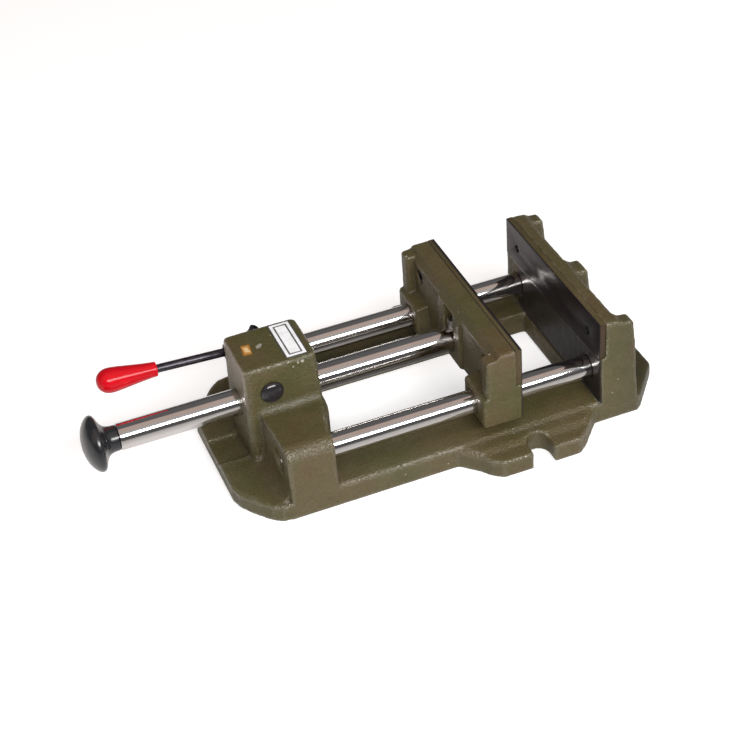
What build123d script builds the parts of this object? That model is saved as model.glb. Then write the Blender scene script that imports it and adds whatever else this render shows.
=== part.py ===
from build123d import *
import os
from math import sin, cos, tan, radians, pi

# Quick-release drill-press vise.
# Frame: millimetres, +X from the palm knob towards the fixed jaw, +Y away from
# the plug side, +Z up. Origin: underside of the base, mid-width, straight below
# the gripping face of the fixed jaw plate. Modelled with the jaws 59 mm open and
# the lever lying along the bars.

# ---------------------------------------------------------------- dimensions
JAW_W = 150.0            # jaw plate width
PLATE_T = 5.0            # jaw plate thickness
PLATE_Z0, PLATE_Z1 = 54.0, 84.0
OPEN = 59.0              # opening at rest
CAST_HW = 76.0           # half width of both jaw castings
BASE_HW = 78.0           # half width of the base
BASE_X0 = -264.0         # left end
BASE_X1 = 57.5           # right end
RAIL_IN = 43.0           # inner edge of a base rail
RAIL_Z = 18.0
FLANGE_Z = 13.0
LUG_Z = 14.0
LUG_Y = 102.0
SLOT_X, SLOT_W, SLOT_Y = -55.5, 16.0, 84.0   # T-bolt slot: centre, width, inner end

GUIDE_Y, GUIDE_Z, GUIDE_R = 56.6, 36.0, 8.75
RUN_GAP = 0.05          # running clearance on radius
PUSH_Z, PUSH_R = 50.0, 9.5
PUSH_X0 = -327.0         # knob end of the push bar
BLOCK_X0 = -232.0
BLOCK_Z0, BLOCK_Z1 = 52.0, 57.0            # block top beside the column and at the shoulder
COL_X0, COL_X1, COL_HW, COL_Z = -240.5, -187.5, 23.0, 90.0
CAV_X0, CAV_X1, CAV_HW, CAV_Z = -230.0, -193.0, 14.0, 82.0

SHAFT_X, SHAFT_Z, SHAFT_R = -222.0, 68.6, 7.0
CAM_R, CAM_E = 5.8, 1.1
HUB_R = 9.0
LEVER_Y, LEVER_UP = 32.6, 3.0                # lever plane, degrees above level at rest
ROD_R = 3.0
KNOB_R = 20.0
PLATE_GRIP = 6.0         # thickness of one grip plate
PL_X0 = SHAFT_X + CAM_R - CAM_E + 0.35       # face of the first grip plate
PL_X1 = PL_X0 + 2 * PLATE_GRIP + 0.1
FULC_R, FULC_Z = 3.0, 31.0                   # pin that the plates tip over
FULC_X = PL_X1 + 0.05 + FULC_R
SCREW_Y, SCREW_Z = 56.6, 67.5                # jaw plate screws


def prism(pts, z0, z1):
    """Plan outline raised from z0 to z1."""
    return Pos(0, 0, z0) * extrude(make_face(Polyline(*pts, close=True)), amount=z1 - z0)


def side(pts, y0, y1):
    """Outline in X and Z, carried from y0 to y1."""
    f = make_face(Polyline(*pts, close=True))
    s = extrude(f, amount=y1 - y0)
    return Pos(0, y1, 0) * Rot(90, 0, 0) * s


def front(pts, x0, x1):
    """Outline in Y and Z, carried from x0 to x1."""
    return extrude(Plane.YZ.offset(x0) * make_face(Polyline(*pts, close=True)), amount=x1 - x0)


def box(x0, x1, y0, y1, z0, z1):
    return Pos((x0 + x1) / 2, (y0 + y1) / 2, (z0 + z1) / 2) * Box(x1 - x0, y1 - y0, z1 - z0)


def across(hw, z0, z1, x0, x1, r):
    """Block from x0 to x1 whose upper long edges are rounded to r."""
    b = box(x0, x1, -hw, hw, z0, z1)
    return fillet([e for e in b.edges().filter_by(Axis.X) if e.center().Z > z1 - 0.01], r)


def cyl_x(x0, x1, y, z, r):
    return Pos((x0 + x1) / 2, y, z) * Rot(0, 90, 0) * Cylinder(r, x1 - x0)


def cyl_y(y0, y1, x, z, r):
    return Pos(x, (y0 + y1) / 2, z) * Rot(90, 0, 0) * Cylinder(r, y1 - y0)


def cyl_z(z0, z1, x, y, r):
    return Pos(x, y, (z0 + z1) / 2) * Cylinder(r, z1 - z0)


def near(edges, test):
    return [e for e in edges if test(e.center())]


def rounded(solid, edges, r):
    """Fillet that keeps the plain solid where an edge cannot take the radius."""
    try:
        out = fillet(edges, r)
        return out if out.is_valid else solid
    except Exception:
        print("fillet left out", r)
        return solid


def turned_x(profile, x0, y, z):
    """Solid of revolution about X from (x, radius) points measured from x0."""
    pts = [(x0 + a, b) for a, b in profile]
    f = make_face(Polyline(*pts, close=True))          # in XY, radius along Y
    s = revolve(f, Axis.X, 360)
    return Pos(0, y, z) * s


parts = {}

# ============================================================ base casting
# left foot flange with its cut corners and rounded rim
foot = prism([(BASE_X0, -41.5), (BASE_X0, 40), (-262, 45), (-255.7, 54.2), (-245.7, 67.5), (-240.8, 73), (-235.5, 77),
              (-229, BASE_HW), (-200, BASE_HW), (-200, -BASE_HW), (-229, -BASE_HW), (-238.6, -76.8), (-244.6, -73),
              (-249.7, -67.2), (-254.7, -60.8), (-261.5, -50.5)], 0, FLANGE_Z)
foot = rounded(foot, [e for e in foot.edges() if e.center().Z > FLANGE_Z - 0.01 and e.center().X < -215], 1.8)
# shallow runway under the push bar, with a low lip along its near side
foot -= box(-270, -241, -14.5, 12.5, FLANGE_Z - 1.8, 30)
foot += front([(-18, FLANGE_Z - 1), (-18, FLANGE_Z), (-16.4, FLANGE_Z + 0.9), (-15.4, FLANGE_Z + 0.9), (-14.5, FLANGE_Z - 1)], -263, -238)

rails = Part() + foot
for s in (-1, 1):
    rail = box(-205, 16, min(s * RAIL_IN, s * BASE_HW), max(s * RAIL_IN, s * BASE_HW), 0, RAIL_Z)
    rail = rounded(rail, [e for e in rail.edges() if e.center().Z > RAIL_Z - 0.01 and abs(e.center().Y) > 77], 3)
    rails += rail
    # slotted lug
    lug = prism([(-112, s * 70), (-110, s * 78), (-98, s * 90), (-93, s * 97), (-86, s * LUG_Y), (-27, s * LUG_Y),
                 (-20, s * 96), (-5, s * 79), (-3, s * 70)], 0, LUG_Z)
    lug = rounded(lug, [e for e in lug.edges().filter_by(Axis.Z) if abs(e.center().Y) > 85], 6)
    lug = rounded(lug, [e for e in lug.edges() if e.center().Z > LUG_Z - 0.01 and abs(e.center().Y) > 80], 1.5)
    # shelf beside the rail, sloping down to the lug's flat
    shelf = [(74, 10), (74, 16.2), (85.5, 16.2), (87.5, 15.7), (89.5, 14.8), (91.5, LUG_Z - 0.2), (91.5, 10)]
    ramp = front([(s * a, b) for a, b in shelf], -120, 5)
    plan = make_face(Polyline(*[(a, s * b) for a, b in ((-111, 70), (-109, 78), (-97, 90), (-92, 97), (-86, 101), (-27, 101),
                                                        (-21, 95), (-6.5, 78.5), (-4.5, 70))], close=True))
    ramp = ramp & (Pos(0, 0, LUG_Z - 0.5) * extrude(plan, amount=4.2, taper=35))
    rails += lug
    rails += ramp
for s in (-1, 1):
    yo = s * (LUG_Y + 10)
    yi = s * (SLOT_Y + SLOT_W / 2)
    rails -= box(SLOT_X - SLOT_W / 2, SLOT_X + SLOT_W / 2, min(yo, yi), max(yo, yi), -1, RAIL_Z + 1)
    rails -= cyl_z(-1, RAIL_Z + 1, SLOT_X, yi, SLOT_W / 2)

# cross member and rear foot flange under the fixed jaw
rear = prism([(14, -BASE_HW), (30.5, -BASE_HW), (35, -74), (BASE_X1, -46.3), (BASE_X1, 46.3), (35, 74),
              (30.5, BASE_HW), (14, BASE_HW)], 0, 12)
rear = rounded(rear, [e for e in rear.edges() if e.center().Z > 11.9 and e.center().X > 28], 2)
cross = box(-1.5, 20, -BASE_HW, BASE_HW, 0, 16)

# fixed jaw: wall with a ledge for the plate, three ribs behind
wall = side([(0.3, 0), (0.3, PLATE_Z0), (PLATE_T, PLATE_Z0), (PLATE_T, PLATE_Z1), (9, PLATE_Z1), (15, PLATE_Z1 - 0.8),
             (16.5, 40), (18, 12), (18, 0)], -BASE_HW, BASE_HW)
ribs = Part()
for y0, y1 in ((-BASE_HW, -65), (-8, 8), (65, BASE_HW)):
    rib = side([(12, 5), (12, PLATE_Z1 - 0.8), (15, PLATE_Z1 - 0.8), (18.5, PLATE_Z1 - 3), (26.2, PLATE_Z1 - 3.8),
                (28.7, 55), (30.4, 5)], y0, y1)
    rib = rounded(rib, [e for e in rib.edges().filter_by(Axis.Y) if e.center().X > 25 and e.center().Z > 70], 3)
    ribs += rib
# its ends flare a little into the base, which they meet flush
ends = front([(-BASE_HW, -1), (-BASE_HW, 16), (-CAST_HW, 38), (-CAST_HW, PLATE_Z1), (CAST_HW, PLATE_Z1), (CAST_HW, 38),
              (BASE_HW, 16), (BASE_HW, -1)], -5, 40)
ends = rounded(ends, [e for e in ends.edges().filter_by(Axis.X) if e.center().Z > PLATE_Z1 - 0.01], 2.5)
wall = (wall + ribs) & ends
ribs = Part()
for s in (-1, 1):
    ribs += cyl_x(12, 22, s * GUIDE_Y, GUIDE_Z, 14)
    ribs += box(12, 22, min(s * 44, s * 70), max(s * 44, s * 70), 5, GUIDE_Z)

# headstock block, bulging towards the middle: the near shoulder rises a little outwards, the one on the
# lever side is lower and rounder and gives the lever room
blk = front([(-BASE_HW, 0), (-76.5, BLOCK_Z1), (-24, BLOCK_Z0), (24, BLOCK_Z0), (76.8, BLOCK_Z0 + 0.5), (BASE_HW, 0)], BLOCK_X0, -180)
blk = rounded(blk, [e for e in blk.edges().filter_by(Axis.X) if e.center().Z > BLOCK_Z1 - 0.01], 9)
blk = rounded(blk, [e for e in blk.edges().filter_by(Axis.X) if e.center().Z > BLOCK_Z0 and e.center().Y > 70], 17)
plan = prism([(BLOCK_X0, -BASE_HW - 1), (-198, -BASE_HW - 1), (-196.5, -64), (-193.2, -50), (-190.8, -42.3), (-187.5, -37),
              (-185.3, -28), (-184.5, -19), (-184.5, 19), (-185.3, 28), (-187.5, 37), (-190.8, 42.3), (-193.2, 50),
              (-196.5, 64), (-198, BASE_HW + 1), (-220.5, BASE_HW + 1), (-223.3, 69.5), (-226.3, 63), (-229.3, 56),
              (-231.4, 50), (BLOCK_X0, 44)], -1, 60)
blk = blk & plan
# the bulge falls away from the shoulder's top
blk = blk & side([(BLOCK_X0 - 1, -1), (BLOCK_X0 - 1, 60), (-200.2, 60), (-180.0, 43.8), (-180.0, -1)], -BASE_HW - 2, BASE_HW + 2)
# column
low = Pos((COL_X0 - 0.8 - 183.4) / 2, 0, 6) * RectangleRounded(-183.4 - (COL_X0 - 0.8), 48, 5)
top = Pos((COL_X0 + COL_X1) / 2, 0, COL_Z) * RectangleRounded(COL_X1 - COL_X0, 2 * COL_HW, 4)
col = loft([low.face(), top.face()])
col = rounded(col, [e for e in col.edges() if e.center().Z > COL_Z - 0.01], 1.5)

# coved corners: column to block, column to foot, foot to block
for s in (-1, 1):
    arc = [(s * (28.6 - 5.2 * cos(radians(t))), 57.6 - 5.2 * sin(radians(t))) for t in range(0, 91, 15)]
    blk += front([(s * 20, 50), (s * 20, 57.6)] + arc + [(s * 28.6, 50)], BLOCK_X0, -187.5)
    arc = [(s * (28 - 4 * cos(radians(t))), 17 - 4 * sin(radians(t))) for t in range(0, 91, 15)]
    blk += front([(s * 20, 12), (s * 20, 17)] + arc + [(s * 28, 12)], -240.3, -231)
    y0, y1 = sorted((s * 22, -73 if s < 0 else 46))
    blk += side([(-241, 12), (-241, 13.0), (-237.5, 13.8), (-235.0, 15.4), (-233.2, 18.0), (-231.9, 22), (-228, 22), (-228, 12)], y0, y1)

# flat seat for the lever washer
pad = cyl_y(10, 24.3, SHAFT_X, SHAFT_Z, 11.0)
base = rails + cross + rear + wall + ribs + blk + col + pad
# cavity for the clamping mechanism, open below
base -= box(CAV_X0, CAV_X1, -CAV_HW, CAV_HW, -1, CAV_Z)
# push bar bore, cross shaft bore, fulcrum pin bore
base -= cyl_x(-250, -180, 0, PUSH_Z, PUSH_R + RUN_GAP)
base -= cyl_y(-30, 30, SHAFT_X, SHAFT_Z, SHAFT_R + RUN_GAP)
base -= cyl_y(-19, 19, FULC_X, FULC_Z, FULC_R)
# guide bar seats: through the headstock, blind in the fixed jaw
for s in (-1, 1):
    base -= cyl_x(-240, -180, s * GUIDE_Y, GUIDE_Z, GUIDE_R)
    base -= cyl_x(-5, 17, s * GUIDE_Y, GUIDE_Z, GUIDE_R)
    for x in (-216.0, 9.0):
        base -= cyl_z(-1, GUIDE_Z - 5, x, s * GUIDE_Y, 4.0)
    # plate screw: clearance hole and spot face
    base -= cyl_x(-5, 25, s * SCREW_Y, SCREW_Z, 3.3)
    base -= cyl_x(13.2, 30, s * SCREW_Y, SCREW_Z, 6.2)
    # cored pockets under the rails and the fixed jaw
    for x0, x1 in ((-192, -160), (-152, -120), (-112, -80), (-72, -40), (-32, -8)):
        base -= box(x0, x1, min(s * 49, s * 71), max(s * 49, s * 71), -1, 9)
    base -= box(6, 26, min(s * 5, s * 36), max(s * 5, s * 36), -1, 8)
parts["base_casting"] = base

# ============================================================ fixed jaw plate
def jaw_plate(x0, x1):
    p = box(x0, x1, -JAW_W / 2, JAW_W / 2, PLATE_Z0, PLATE_Z1)
    for s in (-1, 1):
        p -= cyl_x(x0 - 1, x1 + 1, s * SCREW_Y, SCREW_Z, 3.0)
    return p


fp = jaw_plate(0, PLATE_T)
fp = rounded(fp, [e for e in fp.edges().filter_by(Axis.Y) if e.center().X < 0.1 and e.center().Z > 80], 0.6)
parts["fixed_jaw_plate"] = fp

# cap screws from behind, one each side
def cap_screws(x_head, length):
    """Heads on the -X or +X side: x_head is the seat, length runs into the plate (signed)."""
    out = []
    d = 1 if length > 0 else -1
    for s in (-1, 1):
        sh = cyl_x(min(x_head, x_head + length), max(x_head, x_head + length), s * SCREW_Y, SCREW_Z, 2.98)
        hd = cyl_x(min(x_head, x_head - d * 6), max(x_head, x_head - d * 6), s * SCREW_Y, SCREW_Z, 5.0)
        sock = Pos(x_head - d * 6, s * SCREW_Y, SCREW_Z) * Rot(0, 90, 0) * extrude(RegularPolygon(2.9, 6), amount=3, both=True)
        out.append((sh + hd - sock).solid())
    return Compound(out)


parts["fixed_plate_screws"] = cap_screws(13.2, -12.0)

# ============================================================ moving jaw
XF = -OPEN                    # gripping face of the moving plate
mw = side([(XF - 0.3, 34), (XF - 0.3, PLATE_Z0), (XF - PLATE_T, PLATE_Z0), (XF - PLATE_T, PLATE_Z1),
           (XF - 16.2, PLATE_Z1), (XF - 16.6, PLATE_Z1 - 0.9), (XF - 17.2, PLATE_Z1 - 0.9), (XF - 21.0, 78),
           (XF - 20.0, 72), (XF - 20.0, 34)], -CAST_HW, CAST_HW)
mj = Part() + mw
for s in (-1, 1):
    # sliding block round the guide bar
    y0, y1 = sorted((s * 42.6, s * CAST_HW))
    foot_b = side([(XF - 0.3, 25), (XF - 0.3, 50), (XF - 20, 50), (XF - 30.2, 48.5), (XF - 30.2, 25)], y0, y1)
    foot_b = rounded(foot_b, [e for e in foot_b.edges() if e.center().X < XF - 30.1], 2.5)
    mj += foot_b
    # end column
    y0, y1 = sorted((s * 65, s * CAST_HW))
    cb = side([(XF - 10, 40), (XF - 10, PLATE_Z1 - 0.9), (XF - 16.6, PLATE_Z1 - 0.9), (XF - 19, 81), (XF - 26.8, 80.2),
               (XF - 26.8, 40)], y0, y1)
    cb = rounded(cb, [e for e in cb.edges() if e.center().X < XF - 26.7], 2.5)
    mj += cb
# centre boss with the slot over the push bar
boss = box(XF - 22.5, XF - 8, -19, 19, 34, 78)
boss = rounded(boss, [e for e in boss.edges() if e.center().X < XF - 22.4], 2)
mj += boss
mj = mj & across(CAST_HW, 20, PLATE_Z1, XF - 40, XF, 2.5)
mj -= box(XF - 30, XF - 14, -8, 8, PUSH_Z, 76)
mj -= cyl_x(XF - 30, XF - 7, 0, PUSH_Z, PUSH_R)
mj -= cyl_z(36, PUSH_Z, XF - 18.5, 0, 3.0)
for s in (-1, 1):
    mj -= cyl_x(XF - 40, XF + 5, s * GUIDE_Y, GUIDE_Z, GUIDE_R + RUN_GAP)
    mj -= cyl_x(XF - 40, XF + 5, s * SCREW_Y, SCREW_Z, 3.3)
    mj -= cyl_x(XF - 40, XF - 13, s * SCREW_Y, SCREW_Z, 5.4)
parts["moving_jaw"] = mj

mp = jaw_plate(XF - PLATE_T, XF)
mp = rounded(mp, [e for e in mp.edges().filter_by(Axis.Y) if e.center().X > XF - 0.1 and e.center().Z > 80], 0.6)
parts["moving_jaw_plate"] = mp
parts["moving_plate_screws"] = cap_screws(XF - 13.0, 11.5)

# ============================================================ guide bars
for s, n in ((-1, "near"), (1, "far")):
    xe = BLOCK_X0 + 1.5 if s < 0 else -223.5
    bar = cyl_x(xe, 16.0, s * GUIDE_Y, GUIDE_Z, GUIDE_R)
    bar = rounded(bar, [e for e in bar.edges() if abs(e.center().X - xe) < 0.1 or abs(e.center().X - 16) < 0.1], 0.8)
    parts["guide_bar_" + n] = bar

grubs = []
for s in (-1, 1):
    for x in (-216.0, 9.0):
        g = cyl_z(12, GUIDE_Z - GUIDE_R, x, s * GUIDE_Y, 4.0)
        g -= Pos(x, s * GUIDE_Y, 12) * extrude(RegularPolygon(2.3, 6), amount=4, both=True)
        grubs.append(g.solid())
parts["guide_bar_set_screws"] = Compound(grubs)

# ============================================================ push bar and knob
pb = cyl_x(PUSH_X0, XF - 7, 0, PUSH_Z, PUSH_R)
pb = rounded(pb, [e for e in pb.edges() if e.center().X < PUSH_X0 + 0.1], 1.2)
pb -= cyl_x(PUSH_X0 - 1, PUSH_X0 + 14, 0, PUSH_Z, 4.0)
pb -= cyl_z(30, 70, XF - 18.5, 0, 3.0)
parts["push_bar"] = pb

ss = cyl_z(36, PUSH_Z + PUSH_R + 0.2, XF - 18.5, 0, 2.98) + cyl_z(PUSH_Z + PUSH_R + 0.05, 66.5, XF - 18.5, 0, 4.0)
ss -= Pos(XF - 18.5, 0, 66.5) * extrude(RegularPolygon(2.3, 6), amount=3, both=True)
parts["push_bar_set_screw"] = ss

# knob: dome, rolled rim, cone and collar
kp = [(-25.0, 0), (-25.0, 4.0), (-24.4, 9.0), (-22.9, 13.6), (-20.6, 17.3), (-18.6, 19.2), (-16.8, 20.0), (-14.9, 19.6),
      (-13.6, 18.2), (-12.6, 15.6), (-11.2, 12.6), (-9.2, 10.4), (-7.0, 9.3), (-0.2, 9.0), (-0.2, 0)]
kn = turned_x(kp, PUSH_X0, 0, PUSH_Z)
kn -= cyl_x(PUSH_X0 - 14, PUSH_X0 + 5, 0, PUSH_Z, 4.0)
parts["knob"] = kn
parts["knob_stud"] = cyl_x(PUSH_X0 - 13.5, PUSH_X0 + 13.5, 0, PUSH_Z, 3.98)

# ============================================================ cross shaft
def wall_y(z):
    """Half width of the drafted column at height z."""
    return 24.0 + (COL_HW - 24.0) * (z - 6) / (COL_Z - 6)


yw = wall_y(SHAFT_Z)
hub_y0 = 25.4
shaft = cyl_y(-15.5, hub_y0, SHAFT_X, SHAFT_Z, SHAFT_R)
shaft += cyl_y(hub_y0, 37, SHAFT_X, SHAFT_Z, 5.5)
shaft -= (cyl_y(-12.6, 12.6, SHAFT_X, SHAFT_Z, SHAFT_R + 2) - cyl_y(-12.6, 12.6, SHAFT_X - CAM_E, SHAFT_Z, CAM_R))
shaft -= (cyl_y(-13.8, -12.6, SHAFT_X, SHAFT_Z, SHAFT_R + 2) - cyl_y(-13.8, -12.6, SHAFT_X, SHAFT_Z, 5.2))
parts["cam_shaft"] = shaft

ring = cyl_y(-13.7, -12.7, SHAFT_X, SHAFT_Z, 7.9) - cyl_y(-14, -12, SHAFT_X, SHAFT_Z, 5.2)
ring -= box(SHAFT_X - 20, SHAFT_X - 4.0, -14, -12, SHAFT_Z - 2.2, SHAFT_Z + 2.2)
parts["shaft_retaining_ring"] = ring

plug_pts = [(0, 0), (0, 8.2), (0.9, 8.2), (1.9, 7.7), (3.0, 6.4), (3.9, 4.3), (4.4, 2.0), (4.5, 0)]
pf = make_face(Polyline(*[(b, -a) for a, b in plug_pts], close=True))
plug = revolve(pf, Axis.Y, 360)
plug = Pos(SHAFT_X, -yw - 0.15, SHAFT_Z) * plug
plug += cyl_y(-yw - 0.2, -16.0, SHAFT_X, SHAFT_Z, SHAFT_R + RUN_GAP)
parts["shaft_bore_plug"] = plug

# ============================================================ lever
washer = cyl_y(24.3, 25.3, SHAFT_X, SHAFT_Z, 9.2) - cyl_y(20, 30, SHAFT_X, SHAFT_Z, SHAFT_R + RUN_GAP)
parts["hub_washer"] = washer

hub = cyl_y(hub_y0, 38.6, SHAFT_X, SHAFT_Z, HUB_R)
hub = rounded(hub, [e for e in hub.edges() if e.length > 50], 1.0)


def radial(r0, r1, deg, y, rad):
    """Cylinder along a radius of the shaft; deg from +X towards +Z."""
    m = (r0 + r1) / 2
    a = radians(deg)
    return Pos(SHAFT_X + m * cos(a), y, SHAFT_Z + m * sin(a)) * Rot(0, 90 - deg, 0) * Cylinder(rad, r1 - r0)


ROD_DEG = 180 - LEVER_UP
SCR_DEG = 62.0
SCR_Y = 32.0
SCR_R0, SCR_R1 = 12.8, 17.2                  # under and on top of the clamp screw's head
hub += radial(7, 15.5, ROD_DEG, LEVER_Y, 5.6)
hub += radial(7, SCR_R0, SCR_DEG, SCR_Y, 3.8)
hub -= radial(6.5, 20, ROD_DEG, LEVER_Y, ROD_R)
hub -= radial(4, 20, SCR_DEG, SCR_Y, 2.0)
hub -= cyl_y(hub_y0 - 1, 37, SHAFT_X, SHAFT_Z, 5.5)
parts["lever_hub"] = hub

scr = radial(5.6, SCR_R0 + 0.1, SCR_DEG, SCR_Y, 1.98) + radial(SCR_R0, SCR_R1, SCR_DEG, SCR_Y, 3.3)
a = radians(SCR_DEG)
scr -= Pos(SHAFT_X + SCR_R1 * cos(a), SCR_Y, SHAFT_Z + SCR_R1 * sin(a)) * Rot(0, 90 - SCR_DEG, 0) * \
    extrude(RegularPolygon(1.73, 6), amount=2, both=True)
parts["hub_screw"] = scr

rod = radial(7.0, 82.0, ROD_DEG, LEVER_Y, ROD_R)
parts["lever_rod"] = rod

# grip: tapered body swelling to a ball end, moulded over the rod
gp = [(65.0, 0), (65.0, 4.6), (65.7, 5.1), (70, 5.5), (78, 6.5), (86, 7.6), (92, 8.4), (97, 8.8), (100.5, 8.6), (103.5, 7.5),
      (106, 5.2), (107.3, 2.6), (107.6, 0)]
gf = make_face(Polyline(*[(b, a) for a, b in gp], close=True))      # XY plane, length along Y
gs = revolve(gf, Axis.Y, 360)
gs -= Pos(0, 65 + 8.5, 0) * Rot(90, 0, 0) * Cylinder(ROD_R, 17.2)
# lay the grip's length (+Y) along the rod
gs = Pos(SHAFT_X, LEVER_Y, SHAFT_Z) * Rot(0, -ROD_DEG, 0) * Rot(0, 0, -90) * gs
parts["lever_grip"] = gs

# ============================================================ grip plates
plates = []
for i in range(2):
    x0 = PL_X0 + i * (PLATE_GRIP + 0.1)
    p = box(x0, x0 + PLATE_GRIP, -12.3, 12.3, FULC_Z - 3.0, 74.0)
    p = rounded(p, [e for e in p.edges().filter_by(Axis.X)], 2.0)
    p -= cyl_x(x0 - 1, x0 + 8, 0, PUSH_Z, 10.2)
    plates.append(p.solid())
parts["grip_plates"] = Compound(plates)

parts["fulcrum_pin"] = cyl_y(-18.8, 18.8, FULC_X, FULC_Z, FULC_R)
print("plates", PL_X0, PL_X1, "pin", FULC_X)

# return spring round the push bar, between the plates and the front wall
SP0, SP1, WIRE, TURNS = PL_X1 + 0.5, CAV_X1 - 0.3, 1.6, 2.5
pitch = (SP1 - SP0 - WIRE) / TURNS
hx = Helix(pitch, pitch * TURNS, 11.6)
wire_face = Plane(origin=hx @ 0, z_dir=hx % 0) * Circle(WIRE / 2)
spring = sweep(wire_face, path=hx, is_frenet=True)
spring = Pos(SP0 + WIRE / 2, 0, PUSH_Z) * Rot(0, 90, 0) * spring
parts["plate_spring"] = spring

# ============================================================ label and sticker
parts["label_plate"] = box(-208.3, -192.6, -20.3, 20.3, COL_Z, COL_Z + 0.35)
st = Pos(-229.8, 1.1, COL_Z + 0.1) * Rot(0, 0, -8) * Box(6.2, 11.2, 0.2)
parts["orange_sticker"] = st

# ---------------------------------------------------------------- output
os.makedirs("parts", exist_ok=True)
for name, shape in parts.items():
    sol = shape.solids()
    vol = sum(x.volume for x in sol)
    if len(sol) == 1:
        shape = sol[0]
    else:
        shape = Compound(list(sol))
    export_step(shape, "parts/" + name + ".step")
    print(name, len(sol), round(vol / 1000.0, 2), "cm3", all(x.is_valid for x in sol))
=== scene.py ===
import bpy, bmesh, math
import numpy as np
from mathutils import Vector, Matrix


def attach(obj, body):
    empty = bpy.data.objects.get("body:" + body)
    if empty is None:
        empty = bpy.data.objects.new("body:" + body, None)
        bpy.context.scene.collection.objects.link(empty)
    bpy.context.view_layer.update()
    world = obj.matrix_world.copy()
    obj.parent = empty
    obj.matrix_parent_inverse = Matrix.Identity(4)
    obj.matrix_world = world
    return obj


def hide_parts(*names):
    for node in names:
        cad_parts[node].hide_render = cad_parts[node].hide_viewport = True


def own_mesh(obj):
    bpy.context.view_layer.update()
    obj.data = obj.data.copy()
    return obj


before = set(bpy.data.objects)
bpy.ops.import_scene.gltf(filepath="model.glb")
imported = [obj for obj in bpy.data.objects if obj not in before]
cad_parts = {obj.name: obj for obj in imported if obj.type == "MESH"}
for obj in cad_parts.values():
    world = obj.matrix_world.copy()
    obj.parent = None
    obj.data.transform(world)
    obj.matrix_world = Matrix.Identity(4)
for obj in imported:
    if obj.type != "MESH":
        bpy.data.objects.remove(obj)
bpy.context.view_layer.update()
scene = bpy.context.scene
MM = 0.001


# ------------------------------------------------------------------ helpers
def link(ob):
    scene.collection.objects.link(ob)
    return ob


def mesh_object(name, verts, faces):
    me = bpy.data.meshes.new(name)
    me.from_pydata([tuple(v) for v in verts], [], faces)
    me.validate()
    me.update()
    return link(bpy.data.objects.new(name, me))


def shade(ob, angle=32.0):
    """Smooth shading, with the edges sharper than the angle kept crisp."""
    bm = bmesh.new()
    bm.from_mesh(ob.data)
    bmesh.ops.recalc_face_normals(bm, faces=bm.faces)
    lim = math.radians(angle)
    for f in bm.faces:
        f.smooth = True
    for e in bm.edges:
        e.smooth = not (len(e.link_faces) == 2 and e.calc_face_angle(0.0) > lim)
    bm.to_mesh(ob.data)
    bm.free()
    ob.data.update()
    return ob


def bake_modifiers(ob):
    """Applies the modifiers of ob to its mesh."""
    dg = bpy.context.evaluated_depsgraph_get()
    dg.update()
    me = bpy.data.meshes.new_from_object(ob.evaluated_get(dg))
    ob.modifiers.clear()
    old = ob.data
    ob.data = me
    bpy.data.meshes.remove(old)
    return ob


def corners(points, seg=4):
    """A profile whose corners are rounded: points are (axial, radius) or (axial, radius, rounding)."""
    out = []
    n = len(points)
    for i, p in enumerate(points):
        r = p[2] if len(p) > 2 else 0.0
        if r <= 0 or i in (0, n - 1):
            out.append((p[0], p[1]))
            continue
        c = np.array(p[:2], float)
        a = np.array(points[i - 1][:2], float) - c
        b = np.array(points[i + 1][:2], float) - c
        la, lb = np.linalg.norm(a), np.linalg.norm(b)
        r = min(r, la * 0.49, lb * 0.49)
        s, e = c + a / la * r, c + b / lb * r
        for k in range(seg + 1):
            t = k / seg
            q = (1 - t) ** 2 * s + 2 * t * (1 - t) * c + t ** 2 * e
            out.append((float(q[0]), float(q[1])))
    return out


def spline(points, per=6):
    """Catmull-Rom through the points, for turned shapes with flowing lines."""
    P = [np.array(p, float) for p in points]
    P = [2 * P[0] - P[1]] + P + [2 * P[-1] - P[-2]]
    out = []
    for i in range(1, len(P) - 2):
        for k in range(per):
            t = k / per
            a, b, c, d = P[i - 1], P[i], P[i + 1], P[i + 2]
            q = 0.5 * ((2 * b) + (c - a) * t + (2 * a - 5 * b + 4 * c - d) * t * t + (3 * b - a - 3 * c + d) * t ** 3)
            out.append((float(q[0]), max(0.0, float(q[1]))))
    out.append((float(P[-2][0]), float(P[-2][1])))
    return out


def lathe(name, profile, origin, direction=(1, 0, 0), segs=96, closed=False, wobble=None, angle=32.0):
    """Turned solid. profile: (distance along the axis, radius) in mm; closed joins the last ring to the first."""
    d = Vector(direction).normalized()
    up = Vector((0, 0, 1)) if abs(d.z) < 0.9 else Vector((0, 1, 0))
    u = d.cross(up).normalized()
    v = d.cross(u).normalized()
    o = Vector(origin)
    verts, rings = [], []
    for a, r in profile:
        if r < 1e-4 and not closed:
            rings.append([len(verts)])
            verts.append(o + d * a)
        else:
            ring = []
            for k in range(segs):
                t = 2 * math.pi * k / segs
                rr = r + (wobble(a, r, k) if wobble else 0.0)
                ring.append(len(verts))
                verts.append(o + d * a + u * (rr * math.cos(t)) + v * (rr * math.sin(t)))
            rings.append(ring)
    faces = []
    pairs = list(zip(rings, rings[1:])) + ([(rings[-1], rings[0])] if closed else [])
    for A, B in pairs:
        if len(A) == 1 and len(B) == 1:
            continue
        for k in range(segs):
            k2 = (k + 1) % segs
            if len(A) == 1:
                faces.append((A[0], B[k2], B[k]))
            elif len(B) == 1:
                faces.append((A[k], A[k2], B[0]))
            else:
                faces.append((A[k], A[k2], B[k2], B[k]))
    ob = mesh_object(name, [q * MM for q in verts], faces)
    return shade(ob, angle)


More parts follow.
